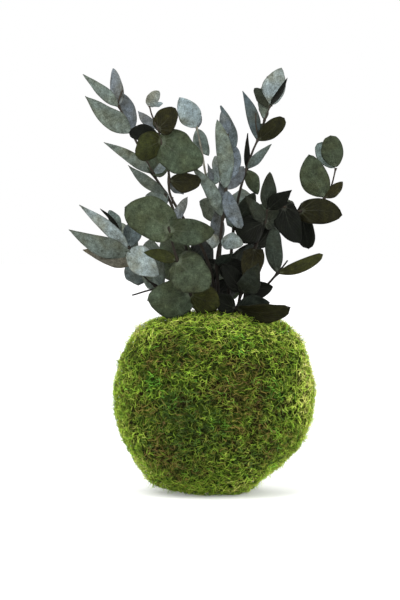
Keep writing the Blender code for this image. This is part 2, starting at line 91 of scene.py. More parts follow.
# Each sprig has how far it leans back at leanTop, the points that its stem runs through before it leans,
# and its leaf nodes. A node has its place counted in path points and its leaves, each as
# (x, y, z of the tip, width, roll, shape, tone).
sprigs = {
    "far_left": {
        "lean": 10,
        "path": [(-8, 11, 86), (-11, 11, 120), (-17, 12, 160), (-29, 12, 197), (-42, 13, 219),
                 (-54, 12, 242), (-61, 11, 257), (-66, 10, 267), (-63, 9, 277)],
        "nodes": [
            (6.8, [(-90, 2, 287.5, 9, 20, "lance", "dusty"), (-70, 16, 292, 10, -25, "oval", "violet")]),
            (5.3, [(-89.5, 2, 272, 16, 15, "lance", "dusty"), (-63.5, 26, 277, 12.5, 35, "lance", "violet")]),
            (4, [(-76, 8, 240.5, 9, 15, "lance", "dusty"), (-33, 15, 228, 7, 20, "oval", "silver"),
                 (-55, 34, 226, 6, 50, "lance", "deep"), (-34, 46, 232, 17, 10, "round", "sage")]),
            (3.3, [(-59, 4, 225, 8.5, -20, "lance", "dusty"), (-46, 43, 196, 16, 15, "round", "dusty")]),
            (2, [(-38, 36, 172, 22, -15, "round", "sage"), (-4, 40, 172, 22, 20, "round", "teal"),
                 (-38, 42, 150, 22, 10, "round", "sage")]),
        ],
    },
    "left_tall": {
        "lean": -8,
        "path": [(1, -5, 86), (1, -5, 120), (-1, -6, 146), (-8, -8, 168), (-21, -10, 189), (-30, -11, 205),
                 (-31, -12, 221), (-36, -12, 241), (-38, -12, 249), (-42, -11, 258), (-44, -11, 265)],
        "nodes": [
            (10, [(-37.5, -10, 275, 9.5, 0, "round", "silver"), (-35, -16, 266, 5, 40, "oval", "silver")]),
            (8, [(-26, -18, 263, 17, -15, "round", "umber"), (-52, 2, 262, 7, 10, "lance", "violet")]),
            (7, [(-9.5, -22, 225, 28, 5, "round", "sage"), (-53, -28, 231, 19, -20, "round", "olive"),
                 (-57.5, -16, 246.5, 13, 25, "blunt", "deep")]),
            (5.6, [(-9, -18, 214, 15, 15, "blunt", "umber"), (-21, 6, 205, 6, 40, "oval", "violet")]),
        ],
    },
    "middle_back": {
        "lean": 26,
        "path": [(-2, 10, 86), (-2, 10, 120), (3, 11, 152), (5, 11, 185), (1, 12, 203), (-5, 12, 216),
                 (-8, 12, 233), (-11, 12, 247), (-13, 12, 256)],
        "nodes": [
            (7.4, [(-24, 6, 272, 16, 5, "oval", "silver"), (-3.5, 15, 232, 11, 10, "oval", "dusty"),
                   (-16, 32, 264, 12, 20, "oval", "violet")]),
            (4.6, [(-4, 9, 226, 6, 45, "lance", "violet"), (6, 34, 224, 14, -30, "oval", "dusty")]),
            (1.5, [(16, 24, 139, 15, 0, "round", "deep"), (-4, 30, 146, 15, 10, "round", "deep")]),
            (3.2, [(-10, 2, 200, 17, 15, "oval", "dusty"), (-6, 42, 196, 20, 15, "round", "sage")]),
        ],
    },
    "middle": {
        "lean": -6,
        "path": [(5, -1, 86), (4, -2, 120), (2, -3, 156), (4, -3, 173), (6, -3, 189), (8, -3, 208),
                 (10, -3, 228), (9, -3, 245), (8, -3, 253)],
        "nodes": [
            (7, [(5, -9, 260, 8, 10, "oval", "violet"), (10, -11, 228, 5, 30, "lance", "teal")]),
            (6, [(5, 3, 266, 13, 25, "lance", "slate"), (1.5, 2, 252, 7, -20, "lance", "dusty")]),
            (5.3, [(15.5, -6, 237, 12, 10, "oval", "violet"), (0.5, -6, 231, 12, 0, "oval", "silver")]),
            (5, [(18.5, -14, 181.5, 10.5, 0, "blunt", "violet"), (2, -15, 255, 12, 15, "oval", "dusty"),
                 (21, 8, 224, 10.5, 10, "oval", "violet")]),
            (4, [(-16, -20, 225, 10, 15, "lance", "dusty"), (4, 6, 214, 9, 40, "lance", "violet")]),
            (3, [(20, -17, 171, 12, -10, "oval", "silver"), (-5, -17, 175, 10, 15, "oval", "silver"),
                 (2, -10, 193, 10, 0, "oval", "violet")]),
            (2, [(25, -7, 150, 17, 10, "blunt", "deep"), (13, -12, 166, 9, 35, "lance", "teal"),
                 (-16, 6, 148, 18, 10, "round", "deep")]),
        ],
    },
    "right_tall": {
        "lean": 14,
        "path": [(10, 8, 86), (10, 8, 120), (11, 9, 151), (14, 10, 185), (18, 11, 207), (22.5, 11, 222),
                 (27, 11, 235), (31, 11, 244), (35, 10, 256), (39, 10, 266)],
        "twig": [(31, 11, 244), (29, 8, 253), (29, 6, 261)],
        "nodes": [
            (9, [(46.5, 4, 292, 16.5, -10, "oval", "silver"), (50, -3, 285, 5, 30, "lance", "deep"),
                 (28, 8, 278, 9, 10, "round", "teal")]),
            (8, [(38, 22, 286, 10, -30, "oval", "dusty"), (31, 28, 268, 8, 30, "lance", "dusty")]),
            (6.8, [(20, 8, 276.5, 9, 10, "lance", "slate"), (48.5, 2, 257.5, 12.5, 10, "blunt", "umber"),
                 (40, 30, 254, 10, 10, "oval", "sage")]),
            (5, [(39.5, 6, 240, 7, 20, "lance", "dusty"), (30, 6, 205, 10, 10, "oval", "sage"),
                 (23, 16, 247, 5, 40, "lance", "deep")]),
            (3, [(28, 2, 206, 12, 0, "oval", "teal"), (20, 50, 208, 17, -20, "round", "dusty")]),
            (2, [(32, 36, 166, 22, 15, "round", "teal"), (-8, 30, 148, 20, -15, "round", "deep"),
                 (14, 46, 134, 20, 20, "round", "sage")]),
        ],
    },
    "right_inner": {
        "lean": 4,
        "path": [(15, 1, 86), (16, 1, 120), (20, 1, 145), (28, 1, 168), (35, 2, 186), (36.5, 2, 194),
                 (38, 2, 200)],
        "nodes": [
            (5, [(38.5, 0, 220, 12, 10, "oval", "teal"), (53, -5, 208, 11, 10, "lance", "deep")]),
            (4, [(16, -9, 176, 19, 0, "blunt", "deep"), (27, 28, 198, 15, 10, "oval", "sage"),
                 (50, 23, 189, 14, 10, "round", "teal"), (21, -10, 204, 10, 20, "lance", "teal")]),
            (3, [(29, 0, 151, 12, 30, "oval", "deep"), (23, -10, 145, 17, 0, "blunt", "umber"),
                 (39, 8, 184, 12, 10, "oval", "deep")]),
        ],
    },
    "far_right": {
        "lean": 10,
        "path": [(17, 10, 86), (19, 11, 120), (25, 13, 150), (32, 14, 175), (39, 14, 190), (49, 12, 196),
                 (60, 10, 193), (70, 8, 196), (76, 6, 202), (81, 6, 211), (84, 6, 223)],
        "nodes": [
            (10, [(80, 2, 245, 15.5, 0, "blunt", "sage"), (72, 14, 239, 14, 0, "blunt", "dusty")]),
            (8, [(64.5, -6, 233, 20, 0, "oval", "sage"), (88.5, 3, 213.5, 9, 25, "oval", "umber")]),
            (6, [(88, -8, 190.5, 20, -10, "round", "umber"), (66, 20, 168, 15, 20, "blunt", "deep")]),
            (5, [(58, -3, 172, 18, 5, "round", "deep"), (48, 38, 202, 14, 10, "oval", "sage")]),
            (3, [(46, 40, 178, 17, 10, "round", "dusty"), (22, 44, 188, 17, -20, "round", "teal")]),
        ],
    },
    "low_right": {
        "lean": -6,
        "path": [(13, -8, 86), (15, -8, 118), (24, -11, 131), (34, -14, 141), (43, -15, 151),
                 (47, -15, 156), (50, -15, 160)],
        "nodes": [
            (4, [(41, -13, 182, 12, -10, "blunt", "teal"), (74, -18, 163.5, 9, 15, "blunt", "olive")]),
        ],
    },
    "low_left": {
        "lean": -4,
        "path": [(-13, 0, 86), (-15, 0, 118), (-26, -1, 131), (-40, -2, 142), (-47, -2, 148),
                 (-53, -2, 158), (-58, -1, 168), (-64, 0, 178), (-70, 1, 186)],
        "nodes": [
            (7, [(-72, 6, 194, 9, -20, "oval", "dusty"), (-78, 1, 195, 4, 40, "lance", "deep")]),
            (6, [(-92, -8, 197.5, 9.5, 20, "lance", "silver"), (-38, -12, 149, 21, 0, "oval", "silver"),
                 (-56, 8, 186, 14, 10, "oval", "slate")]),
            (5.5, [(-98.5, -4, 180, 14, -10, "lance", "dusty"), (-66, 36, 184, 14, 10, "oval", "dusty")]),
            (5, [(-90, -14, 167, 15, 10, "lance", "taupe"), (-52, 2, 142, 19, 0, "round", "slate")]),
            (3, [(-44, 30, 174, 18, 10, "round", "dusty")]),
        ],
    },
    "front_left": {
        "lean": -8,
        "path": [(-6, -10, 86), (-9, -12, 118), (-16, -17, 137), (-25, -21, 160), (-31, -22, 185),
                 (-29, -20, 195), (-28, -19, 203)],
        "nodes": [
            (3.8, [(-60.5, -27, 196, 29, 0, "round", "sage"), (0, -34, 179.5, 21, 5, "round", "sage"),
                 (-18, -12, 203, 8, 30, "oval", "violet")]),
            (3, [(-4, -38, 142.5, 28, -5, "round", "sage"), (-47, -26, 166, 10, 15, "oval", "olive")]),
            (2, [(-44, -28, 133, 28, 0, "round", "sage"), (3, -28, 130.5, 20, 10, "round", "olive")]),
        ],
    },
    "front_right": {
        "lean": -4,
        "path": [(8, -10, 86), (11, -13, 118), (15, -15, 127), (19, -15, 138), (22, -14, 147)],
        "nodes": [
            (3, [(29, -18, 158, 15, 0, "oval", "teal"), (5, -24, 158, 14, 10, "oval", "deep"),
                 (40, -8, 142, 14, 10, "oval", "deep")]),
            (2, [(51, -23, 129, 15, 30, "blunt", "umber"), (38, -23, 132, 14, 10, "oval", "teal"),
                 (-4, -26, 136, 14, 10, "oval", "deep")]),
        ],
    },
    "bare_twig": {
        "lean": 0,
        "path": [(-11, -6, 86), (-14, -7, 118), (-24, -9, 134), (-39, -10, 140), (-56, -10, 136)],
        "nodes": [],
    },
}

stemLook = {
    "footRadius": 1.25, "tipRadius": 0.5, "sides": 10,
    "samples": 6,  # points along each stretch of a path
    "leanFoot": 120.0, "leanTop": 290.0,  # heights at which a sprig starts to lean, and leans in full
    "knuckle": 0.55, "knuckleLength": 2.2, "bumps": 0.10, "toneSpread": 0.25,
    "dark": (26, 22, 17), "upper": (50, 45, 38), "pale": (112, 110, 100),
    "darkTop": 150.0, "upperFrom": 215.0,  # dark below the first, and the upper tone above the second
    "paleTops": ("middle_back",),
}


def leant(point, lean):
    x, y, z = point
    share = max(z - stemLook["leanFoot"], 0) / (stemLook["leanTop"] - stemLook["leanFoot"])
    return Vector((x, y + lean * share, z))


def smoothPath(points, lean):
    knots = [leant(p, lean) for p in points]
    knots = [2 * knots[0] - knots[1]] + knots + [2 * knots[-1] - knots[-2]]
    path = []
    for k in range(1, len(knots) - 2):
        before, start, end, after = knots[k - 1:k + 3]
        for step in range(stemLook["samples"]):
            t = step / stemLook["samples"]
            path.append(0.5 * (2 * start + (end - before) * t
                               + (2 * before - 5 * start + 4 * end - after) * t ** 2
                               + (3 * start - before - 3 * end + after) * t ** 3))
    path.append(knots[-2])
    return path


def placeOnStem(path, at):
    atSample = min(at * stemLook["samples"], len(path) - 1)
    first = min(int(atSample), len(path) - 2)
    return path[first].lerp(path[first + 1], atSample - first)


def growTube(bm, path, radii, low, high):
    toneLayer = bm.verts.layers.float_color["stemTone"]
    sides = stemLook["sides"]
    ring = bmesh.ops.create_circle(bm, cap_ends=True, cap_tris=False, segments=sides, radius=1)["verts"]
    face = ring[0].link_faces[0]
    side = Vector((1, 0, 0))
    for k, (point, radius) in enumerate(zip(path, radii)):
        if k:
            face = bmesh.ops.extrude_discrete_faces(bm, faces=[face])["faces"][0]
        along = (path[min(k + 1, len(path) - 1)] - path[max(k - 1, 0)]).normalized()
        side = (side - along * side.dot(along)).normalized()
        other = along.cross(side)
        shade = 1 + stemLook["toneSpread"] * noise.noise(point * 0.08)
        up = (point.z - stemLook["darkTop"]) / (stemLook["upperFrom"] - stemLook["darkTop"])
        up = min(max(up, 0), 1)
        tone = (*((a + (b - a) * up) * shade for a, b in zip(low, high)), 1)
        for turn, vert in enumerate(list(face.verts)):
            angle = math.tau * turn / sides
            bump = 1 + stemLook["bumps"] * noise.noise(Vector((turn * 0.9, k * 0.35, radius * 9)))
            spoke = side * math.cos(angle) + other * math.sin(angle)
            vert.co = (point + spoke * radius * bump) * mm
            vert[toneLayer] = tone


def buildStem(name, sprig, path, material):
    last = len(path) - 1
    low = linear(stemLook["dark"])
    high = linear(stemLook["pale" if name in stemLook["paleTops"] else "upper"])
    span = sum((b - a).length for a, b in zip(path, path[1:])) / last
    radii = []
    for k in range(last + 1):
        radius = stemLook["footRadius"] + (stemLook["tipRadius"] - stemLook["footRadius"]) * k / last
        for at, _ in sprig["nodes"]:
            away = (k - at * stemLook["samples"]) * span / stemLook["knuckleLength"]
            radius += stemLook["knuckle"] * math.exp(-away * away)
        radii.append(radius)
    bm = bmesh.new()
    bm.verts.layers.float_color.new("stemTone")
    growTube(bm, path, radii, low, high)
    if "twig" in sprig:
        twig = smoothPath(sprig["twig"], sprig["lean"])
        growTube(bm, twig, [stemLook["tipRadius"]] * len(twig), low, high)
    bmesh.ops.recalc_face_normals(bm, faces=bm.faces)
    newObject("stem_" + name + "_bark", bm, material, ["stem_" + name])


# Bow, cup, wave, curl and the like are shares of a leaf's length or width.
leafLook = {
    "rowsAlong": 18, "rowsAcross": 10, "thickness": 0.5, "petiole": 1.3, "rootGap": 0.8,
    "bow": 0.07, "curl": 0.07, "curlFrom": 0.55, "bend": 0.06, "rollIn": 0.5, "ragged": 0.14,
    "crumple": 0.035,
    "cup": 0.18, "cupSpread": (0.4, 1.7), "wave": 0.05, "waveSpread": (0.5, 1.6), "waves": (1.0, 2.2),
    # place of the widest point, fullness of the base and of the tip, how far the lobes reach below the base
    "shapes": {"round": (0.40, 0.32, 0.58, 0.13), "oval": (0.42, 0.58, 0.70, 0.0),
               "blunt": (0.50, 0.60, 0.42, 0.0), "lance": (0.36, 0.75, 1.0, 0.0)},
    "lobesEnd": 0.35,
    "gain": 0.62, "spread": 0.20, "warmth": 0.05,
    "tones": {
        "silver": (156, 167, 166), "dusty": (116, 128, 121), "violet": (116, 124, 130), "sage": (69, 79, 60),
        "slate": (88, 99, 101), "taupe": (100, 98, 87), "teal": (47, 53, 44), "olive": (51, 54, 22),
        # the darkest tone is near black: the own colour of dark leaves, and painted shade for leaves low down
        # and inside the bunch
        "umber": (42, 41, 17), "deep": (17, 20, 12),
    },
}


def halfWidth(shape, t):
    widest, base, tip, _ = leafLook["shapes"][shape]
    if t < widest:
        return math.sin(math.pi / 2 * t / widest) ** base
    return max(math.cos(math.pi / 2 * (t - widest) / (1 - widest)), 0) ** tip


def growLeaf(bm, root, tip, width, roll, shape, colour, rng):
    toneLayer = bm.verts.layers.float_color["leafTone"]
    uvLayer = bm.loops.layers.uv["leafUv"]
    length = (tip - root).length
    along = (tip - root).normalized()
    front = Vector((0, -1, 0)) if abs(along.y) < 0.9 else Vector((0, 0, 1))
    facing = (front - along * front.dot(along)).normalized()
    facing = Matrix.Rotation(math.radians(roll), 3, along) @ facing
    across = along.cross(facing)
    cup = leafLook["cup"] * rng.uniform(*leafLook["cupSpread"]) * rng.choice((1, 1, -1))
    phase, waves = rng.uniform(0, 6), rng.uniform(*leafLook["waves"])
    wave = leafLook["wave"] * rng.uniform(*leafLook["waveSpread"])
    curl = leafLook["curl"] * rng.uniform(-1, 1)
    rollIn = leafLook["rollIn"] * max(rng.uniform(-1.2, 1), 0)
    bend = rng.uniform(-leafLook["bend"], leafLook["bend"])
    lobes = leafLook["shapes"][shape][3]
    seed = Vector((rng.uniform(0, 50), rng.uniform(0, 50), 0))
    columns, rows = leafLook["rowsAcross"], leafLook["rowsAlong"]
    blade = bmesh.ops.create_grid(bm, x_segments=columns, y_segments=rows, size=1)["verts"]
    for vert in blade:
        s, t = vert.co.x, (vert.co.y + 1) / 2  # across from -1 to 1, and along from 0 to 1
        half = max(halfWidth(shape, t) * width / 2, leafLook["petiole"] / 2 * (1 - t) ** 2)
        ragged = noise.noise(seed + Vector((2.2 * t, 1.5 if s > 0 else 4.5, 0)))
        half *= 1 + leafLook["ragged"] * ragged
        turn = rollIn * abs(s)  # the sides turn back towards the face where the blade curls in
        reach = s * half * (1 - 0.25 * turn * abs(s))
        rise = leafLook["bow"] * length * math.sin(math.pi * t) + turn * abs(s) * half * 0.7
        rise -= cup * abs(reach) * (0.4 + 0.6 * abs(s))
        rise += wave * width * s * s * math.sin(math.tau * waves * t + phase * (1 if s > 0 else 2))
        rise += leafLook["crumple"] * width * noise.noise(seed + Vector((2.5 * s, 5 * t, 7)))
        rise += curl * length * max(t - leafLook["curlFrom"], 0) ** 2 * 6
        sway = bend * length * math.sin(math.pi * t)
        back = lobes * length * abs(s) ** 0.7 * max(1 - t / leafLook["lobesEnd"], 0)
        vert.co = (root + along * (length * t - back) + across * (reach + sway) + facing * rise) * mm
        vert[toneLayer] = (*colour, 1)
        for loop in vert.link_loops:
            loop[uvLayer].uv = ((s + 1) / 2, t)


def buildLeaves(name, centre, leaves, material):
    rng = random.Random(name)
    corners = [v.co / mm for v in nodes[name].data.vertices]
    bm = bmesh.new()
    bm.verts.layers.float_color.new("leafTone")
    bm.loops.layers.uv.new("leafUv")
    for x, y, z, width, roll, shape, tone in leaves:
        # the blade ends where the frame's own leaf does
        tip = min(corners, key=lambda c: (c.x - x) ** 2 + (c.z - z) ** 2 + 0.0001 * (c.y - y) ** 2)
        root = centre + (tip - centre).normalized() * leafLook["rootGap"]
        shade = 1 + leafLook["spread"] * rng.uniform(-1, 1)
        warm = 1 + leafLook["warmth"] * rng.uniform(-1, 1)
        red, green, blue = (c * leafLook["gain"] for c in linear(leafLook["tones"][tone]))
        colour = (red * shade * warm, green * shade, blue * shade / warm)
        growLeaf(bm, root, tip, width, roll, shape, colour, rng)
    piece = newObject(name + "_blades", bm, material, [name])
    thick = piece.modifiers.new("thickness", "SOLIDIFY")
    thick.thickness = leafLook["thickness"] * mm
    thick.offset = 0


def buildSprigs():
    blade, bark = leafMaterial(), stemMaterial()
    for name, sprig in sprigs.items():
        path = smoothPath(sprig["path"], sprig["lean"])
        buildStem(name, sprig, path, bark)
        for number, (at, leaves) in enumerate(sprig["nodes"], start=1):
            buildLeaves(f"leaves_{name}_{number}", placeOnStem(path, at), leaves, blade)
    print("sprigs grown", len(sprigs))


def newMaterial(name, roughness, specular=None):
    material = bpy.data.materials.new(name)
    material.use_nodes = True
    tree = material.node_tree
    shader = tree.nodes["Principled BSDF"]
    shader.inputs["Roughness"].default_value = roughness
    if specular is not None:
        shader.inputs["Specular IOR Level"].default_value = specular
    return material, Graph(tree), shader


class Graph:
    def __init__(self, tree):
        self.tree = tree

    def node(self, kind, **values):
        made = self.tree.nodes.new(kind)
        for key, value in values.items():
            setattr(made, key, value)
        return made

    def link(self, source, target):
        self.tree.links.new(source, target)

    def math(self, operation, first, second=0.0, clamp=False):
        made = self.node("ShaderNodeMath", operation=operation, use_clamp=clamp)
        for socket, value in zip(made.inputs, (first, second)):
            if isinstance(value, (int, float)):
                socket.default_value = value
            else:
                self.link(value, socket)
        return made.outputs[0]

    def plus(self, first, second):
        return self.math("ADD", first, second)

    def times(self, first, second, clamp=False):
        return self.math("MULTIPLY", first, second, clamp)

    def minus(self, first, second, clamp=False):
        return self.math("SUBTRACT", first, second, clamp)

    def power(self, first, second):
        return self.math("POWER", first, second)

    def object(self):
        return self.node("ShaderNodeTexCoord").outputs["Object"]

    def uvParts(self, name):
        split = self.node("ShaderNodeSeparateXYZ")
        self.link(self.node("ShaderNodeUVMap", uv_map=name).outputs["UV"], split.inputs[0])
        return split.outputs["X"], split.outputs["Y"]

    def noise(self, vector, scale, detail, roughness):
        made = self.node("ShaderNodeTexNoise")
        made.inputs["Scale"].default_value = scale
        made.inputs["Detail"].default_value = detail
        made.inputs["Roughness"].default_value = roughness
        self.link(vector, made.inputs["Vector"])
        return made.outputs["Fac"]

    def ramp(self, factor, stops):
        made = self.node("ShaderNodeValToRGB")
        elements = made.color_ramp.elements
        while len(elements) < len(stops):
            elements.new(0.5)
        for element, (place, colour) in zip(elements, stops):
            element.position = place
            element.color = (*colour, 1)
        self.link(factor, made.inputs["Fac"])
        return made.outputs["Color"]

    def tones(self, factor, stops):
        return self.ramp(factor, [(place, linear(colour)) for place, colour in stops])

    def mix(self, factor, first, second, blend="MIX"):
        made = self.node("ShaderNodeMix", data_type="RGBA", blend_type=blend)
        slots = [s for s in made.inputs if s.type == "RGBA"]
        for socket, value in ((made.inputs["Factor"], factor), (slots[0], first), (slots[1], second)):
            if isinstance(value, (int, float)):
                socket.default_value = value
            elif isinstance(value, tuple):
                socket.default_value = (*value, 1)
            else:
                self.link(value, socket)
        return [s for s in made.outputs if s.type == "RGBA"][0]

    def tint(self, first, second):
        return self.mix(1.0, first, second, "MULTIPLY")

    def bump(self, height, strength, distance):
        made = self.node("ShaderNodeBump")
        made.inputs["Strength"].default_value = strength
        made.inputs["Distance"].default_value = distance
        self.link(height, made.inputs["Height"])
        return made.outputs["Normal"]


# Ramps are (place, colour) from low to high, and the scales of the noises are per metre.
leafSkin = {
    "broad": 75, "blotches": 230, "specks": 1250,
    "cast": [(0.34, (0.86, 0.80, 0.68)), (0.47, (0.98, 0.97, 0.93)), (0.6, (1.03, 1.05, 1.08)),
             (0.72, (1.12, 1.16, 1.22))],
    "mottle": [(0.30, (0.38, 0.37, 0.33)), (0.46, (0.84, 0.84, 0.82)), (0.58, (1.12, 1.12, 1.12)),
               (0.72, (1.80, 1.84, 1.82))],
    "grain": [(0.3, (0.58, 0.58, 0.55)), (0.7, (1.42, 1.42, 1.43))],
    "midrib": 34.0, "veins": 52.0, "veinSlope": 60.0, "creases": 7.0,
    "veinTint": (0.014, 0.016, 0.014), "creaseTint": (0.028, 0.030, 0.024), "edgeTint": (0.50, 0.44, 0.38),
    "spotTint": (0.07, 0.075, 0.06), "spotSize": (3.6, 7.5),
    "roughness": (0.55, 0.3), "relief": (0.6, 0.0005),
}


def leafMaterial():
    material, g, shader = newMaterial("preservedLeaf", 0.5, 0.10)
    place = g.object()
    tone = g.node("ShaderNodeAttribute", attribute_name="leafTone").outputs["Color"]
    u, v = g.uvParts("leafUv")
    side = g.math("ABSOLUTE", g.minus(u, 0.5))
    midrib = g.minus(1.0, g.times(side, leafSkin["midrib"]), clamp=True)
    fade = g.minus(1.0, g.times(v, 1.15), clamp=True)
    veinPhase = g.minus(g.times(v, leafSkin["veins"]), g.times(side, leafSkin["veinSlope"]))
    veins = g.power(g.math("MAXIMUM", g.math("SINE", veinPhase), 0.0), 8.0)
    # creases that fan out of the base
    angle = g.math("ARCTAN2", g.minus(u, 0.5), g.plus(v, 0.02))
    fan = g.power(g.math("ABSOLUTE", g.math("COSINE", g.times(angle, leafSkin["creases"]))), 10.0)
    fan = g.times(fan, g.minus(1.0, g.times(v, 2.4), clamp=True))
    edge = g.times(g.minus(side, 0.43), 14.0, clamp=True)
    blotches = g.noise(place, leafSkin["blotches"], 5, 0.72)
    specks = g.noise(place, leafSkin["specks"], 3, 0.7)
    colour = g.tint(tone, g.ramp(g.noise(place, leafSkin["broad"], 2, 0.5), leafSkin["cast"]))
    colour = g.tint(colour, g.ramp(blotches, leafSkin["mottle"]))
    colour = g.tint(colour, g.ramp(specks, leafSkin["grain"]))
    colour = g.mix(g.times(veins, 0.35), colour, g.mix(1.0, colour, leafSkin["veinTint"], "ADD"))
    creased = g.mix(1.0, colour, leafSkin["creaseTint"], "ADD")
    colour = g.mix(g.times(g.times(midrib, fade), 0.7), colour, creased)
    colour = g.mix(g.times(fan, 0.7), colour, creased)
    # a pale spot where the blade meets its stalk
    acrossSpot, alongSpot = leafSkin["spotSize"]
    spot = g.plus(g.power(g.times(side, acrossSpot), 2.0), g.power(g.times(v, alongSpot), 2.0))
    paleSpot = g.mix(1.0, g.tint(tone, (1.6, 1.6, 1.6)), leafSkin["spotTint"], "ADD")
    colour = g.mix(g.times(g.minus(1.0, spot, clamp=True), 0.7), colour, paleSpot)
    colour = g.mix(g.times(edge, 0.5), colour, g.tint(colour, leafSkin["edgeTint"]))
    g.link(colour, shader.inputs["Base Color"])
    smooth, rougher = leafSkin["roughness"]
    g.link(g.plus(smooth, g.times(blotches, rougher)), shader.inputs["Roughness"])
    height = g.times(midrib, 0.6)
    for part, share in ((veins, 0.45), (fan, 1.4), (specks, 0.6), (blotches, 1.2)):
        height = g.plus(height, g.times(part, share))
    g.link(g.bump(height, *leafSkin["relief"]), shader.inputs["Normal"])
    return material


barkSkin = {
    "flakes": 900, "stretch": (1, 1, 0.25), "relief": (0.5, 0.0003),
    "shade": [(0.3, (0.55, 0.52, 0.5)), (0.5, (1, 1, 1)), (0.72, (1.7, 1.65, 1.5))],
}


def stemMaterial():
    material, g, shader = newMaterial("thinBark", 0.75, 0.15)
    tone = g.node("ShaderNodeAttribute", attribute_name="stemTone").outputs["Color"]
    stretch = g.node("ShaderNodeMapping")
    stretch.inputs["Scale"].default_value = barkSkin["stretch"]
    g.link(g.object(), stretch.inputs["Vector"])
    flakes = g.noise(stretch.outputs[0], barkSkin["flakes"], 3, 0.6)
    g.link(g.tint(tone, g.ramp(flakes, barkSkin["shade"])), shader.inputs["Base Color"])
    g.link(g.bump(flakes, *barkSkin["relief"]), shader.inputs["Normal"])
    return material


# The strands carry their tone in U and their shade in V of their own UV map. The shade is painted shade
# and painted highlight: dark at each strand's foot and low between clumps, bright towards its tip. The
# tones run from brown to pale up to lastTone, and past it are the cool and the vivid green that some
# strands have.
mossSkin = {
    "tones": [(0.00, (80, 64, 38)), (0.10, (106, 90, 48)), (0.20, (114, 106, 46)), (0.30, (88, 98, 32)),
              (0.40, (92, 120, 32)), (0.50, (112, 146, 40)), (0.60, (136, 156, 54)), (0.72, (152, 160, 72)),
              (0.84, (170, 170, 96)), (0.90, (54, 76, 30)), (0.94, (70, 98, 40)), (0.96, (86, 140, 42)),
              (1.00, (102, 158, 50))],
    "lastTone": 0.84, "cool": (0.89, 0.94), "vivid": (0.955, 0.99),
    # the shade ramp: painted shade at its low end, painted highlight at its high end
    "shade": [(0.0, (0.13, 0.13, 0.12)), (0.45, (1.24, 1.20, 1.24)), (1.0, (3.6, 3.5, 3.9))],
}


def mossMaterial():
    material, g, shader = newMaterial("mossStrand", 0.85, 0.15)
    tone, shade = g.uvParts("OFBake")
    colour = g.tint(g.tones(tone, mossSkin["tones"]), g.ramp(shade, mossSkin["shade"]))
    g.link(colour, shader.inputs["Base Color"])
    return material


bedSkin = {
    "coarse": 60, "fine": 700, "relief": (0.9, 0.0015),
    "tones": [(0.35, (44, 36, 18)), (0.5, (40, 50, 14)), (0.65, (60, 78, 22))],
    "shade": [(0.3, (0.3, 0.3, 0.3)), (0.65, (1.2, 1.2, 1.2))],
}


def bedMaterial():
    material, g, shader = newMaterial("mossBed", 0.95, 0.05)
    place = g.object()
    fine = g.noise(place, bedSkin["fine"], 4, 0.65)
    colour = g.tones(g.noise(place, bedSkin["coarse"], 4, 0.6), bedSkin["tones"])
    g.link(g.tint(colour, g.ramp(fine, bedSkin["shade"])), shader.inputs["Base Color"])
    g.link(g.bump(fine, *bedSkin["relief"]), shader.inputs["Normal"])
    return material


soilSkin = {
    "coarse": 160, "fine": 900, "relief": (1.0, 0.001),
    "tones": [(0.3, (24, 17, 11)), (0.55, (58, 42, 28)), (0.75, (104, 82, 58))],
    "shade": [(0.3, (0.6, 0.6, 0.6)), (0.7, (1.2, 1.2, 1.2))],
}


def soilMaterial():
    material, g, shader = newMaterial("drySoil", 0.95)
    place = g.object()
    fine = g.noise(place, soilSkin["fine"], 5, 0.7)
    colour = g.tones(fine, soilSkin["tones"])
    shade = g.ramp(g.noise(place, soilSkin["coarse"], 3, 0.5), soilSkin["shade"])
    g.link(g.tint(colour, shade), shader.inputs["Base Color"])
    g.link(g.bump(fine, *soilSkin["relief"]), shader.inputs["Normal"])
    return material


ball = {
    "radius": 67.5, "middle": 60.0, "bellyDrop": 62.5, "bellyPower": 2.05,
    "shoulderRise": 64.0, "shoulderPower": 2.9,
    "flatRadius": 23.0, "openingRadius": 22.0, "soilTop": 119.5,
    "bigLumps": (1.8, 0.035), "smallLumps": (0.9, 0.09),  # rise, and how closely they follow one another
    # dents and bulges, as (x, y, z, radius, rise)
    "swells": [(54, -4, 18, 20, -4.6), (40, -8, 8, 16, -3.2), (58, -4, 107, 16, 1.2), (-50, -4, 114, 14, 1.4),
               (-40, -4, 6, 14, 2.0), (66, -4, 66, 12, 1.6), (-62, -6, 28, 14, -1.4), (-30, 52, 96, 20, -2.5),
               (36, 56, 44, 22, -2.5), (-46, 46, 30, 16, 1.6), (14, 60, 100, 16, 1.8)],
}


def curvePoint(angle, rise, power):
    # (radius, height) of the outline, at an angle from the axis
    radius = ball["radius"] * math.sin(angle) ** (2 / power)
    return radius, ball["middle"] + rise * max(math.cos(angle), 0) ** (2 / power)


def outlinePoints(steps):
    # from the top pole down to the edge of the flat spot
    points = []
    for k in range(steps + 1):
        points.append(curvePoint(math.pi / 2 * k / steps, ball["shoulderRise"], ball["shoulderPower"]))
    end = math.asin((ball["flatRadius"] / ball["radius"]) ** (ball["bellyPower"] / 2))
    for k in range(1, steps):
        angle = math.pi / 2 + (end - math.pi / 2) * k / steps
        points.append(curvePoint(angle, -ball["bellyDrop"], ball["bellyPower"]))
    points.append((ball["flatRadius"], 0))
    return np.array(points)


def lumps(point):
    total = 0
    for rise, closeness in (ball["bigLumps"], ball["smallLumps"]):
        total += rise * noise.noise(point * closeness)
    for x, y, z, radius, rise in ball["swells"]:
        total += rise * math.exp(-(point - Vector((x, y, z))).length_squared / radius ** 2)
    return total


bed = {"inset": 3.0, "turns": 120, "rows": 72, "roughness": (0.6, 0.4), "lowest": 0.4}


